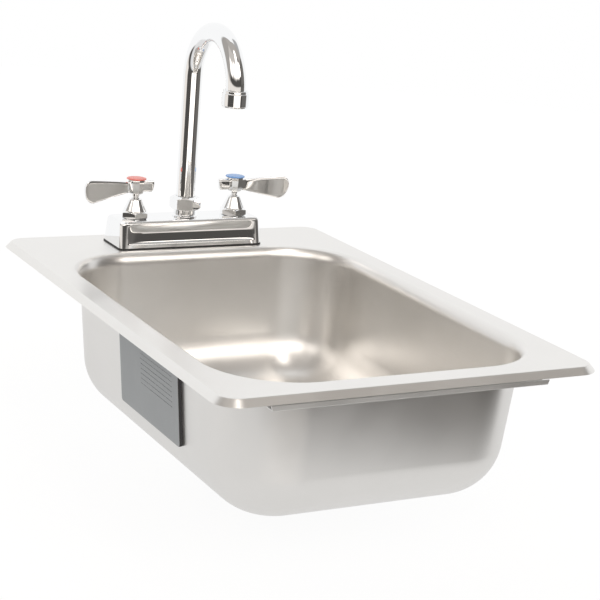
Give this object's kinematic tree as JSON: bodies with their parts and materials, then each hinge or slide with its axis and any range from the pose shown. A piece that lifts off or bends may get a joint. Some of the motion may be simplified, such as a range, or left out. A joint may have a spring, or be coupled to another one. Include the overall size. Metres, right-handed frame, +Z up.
{
  "type": "drop-in sink",
  "caption": "Small drop-in stainless hand sink: rolled rectangular bowl, flat bevelled rim, basket strainer, and a chrome centreset deck faucet with gooseneck swivel spout and lever handles.",
  "frame": {"origin": "centre of the rim's outer rectangle, in the plane of the counter that the rim rests on", "axes": "+X to the right, +Y to the back, where the faucet stands, and +Z up"},
  "size_m": [0.3302, 0.4826, 0.3864],
  "materials": {
    "satin_steel": "satin, fine brushed stainless sheet",
    "rail_steel": "bright mill finish",
    "sound_pad": "matte grey sound-deadening sheet",
    "black_rubber": "matte black rubber",
    "strainer_steel": "polished stainless",
    "fibre": "pressed fibre",
    "cast_zinc": "cast zinc",
    "chrome_plate": "polished chrome plate",
    "brass": "turned brass",
    "ceramic": "polished ceramic",
    "screw_steel": "plain steel",
    "red_plastic": "glossy red",
    "blue_plastic": "glossy blue",
    "nylon": "natural nylon"
  },
  "bodies": {
    "root": {"sink_shell": "satin_steel", "front_rail": "rail_steel", "back_rail": "rail_steel", "left_sound_pad": "sound_pad", "right_sound_pad": "sound_pad", "drain_sealing_ring": "black_rubber", "strainer_body": "strainer_steel", "drain_gasket": "black_rubber", "drain_friction_ring": "fibre", "drain_locknut": "cast_zinc", "faucet_body": "chrome_plate", "faucet_gasket": "black_rubber", "hot_shank": "brass", "cold_shank": "brass", "shank_washers": "black_rubber", "shank_locknuts": "brass", "hot_cartridge": "brass", "cold_cartridge": "brass", "seat_washers": "black_rubber", "hot_fixed_disc": "ceramic", "cold_fixed_disc": "ceramic", "hot_bonnet": "chrome_plate", "cold_bonnet": "chrome_plate", "spout_washer": "nylon", "spout_nut": "chrome_plate"},
    "hot_lever": {"hot_handle": "chrome_plate", "hot_handle_screw": "screw_steel", "hot_index_button": "red_plastic", "hot_stem": "chrome_plate", "hot_moving_disc": "ceramic"},
    "cold_lever": {"cold_handle": "chrome_plate", "cold_handle_screw": "screw_steel", "cold_index_button": "blue_plastic", "cold_stem": "chrome_plate", "cold_moving_disc": "ceramic"},
    "spout": {"spout_tube": "chrome_plate", "spout_o_rings": "black_rubber", "spout_split_ring": "brass", "aerator_housing": "chrome_plate", "aerator_washer": "black_rubber", "aerator_insert": "nylon"},
    "basket": {"strainer_basket": "strainer_steel", "basket_stopper": "black_rubber", "basket_post": "strainer_steel"}
  },
  "joints": [
    {"name": "hot_lever_turn", "type": "hinge", "parent": "root", "child": "hot_lever", "pos_m": [-0.0508, 0.1961, 0.054], "axis": [0, 0, 1], "range_deg": [0, 90]},
    {"name": "cold_lever_turn", "type": "hinge", "parent": "root", "child": "cold_lever", "pos_m": [0.0508, 0.1961, 0.054], "axis": [0, 0, -1], "range_deg": [0, 90]},
    {"name": "spout_swivel", "type": "hinge", "parent": "root", "child": "spout", "pos_m": [0, 0.1961, 0.046], "axis": [0, 0, 1], "continuous": true},
    {"name": "basket_raise", "type": "slide", "parent": "root", "child": "basket", "axis": [0, 0, 1], "range_m": [0, 0.012]}
  ]
}
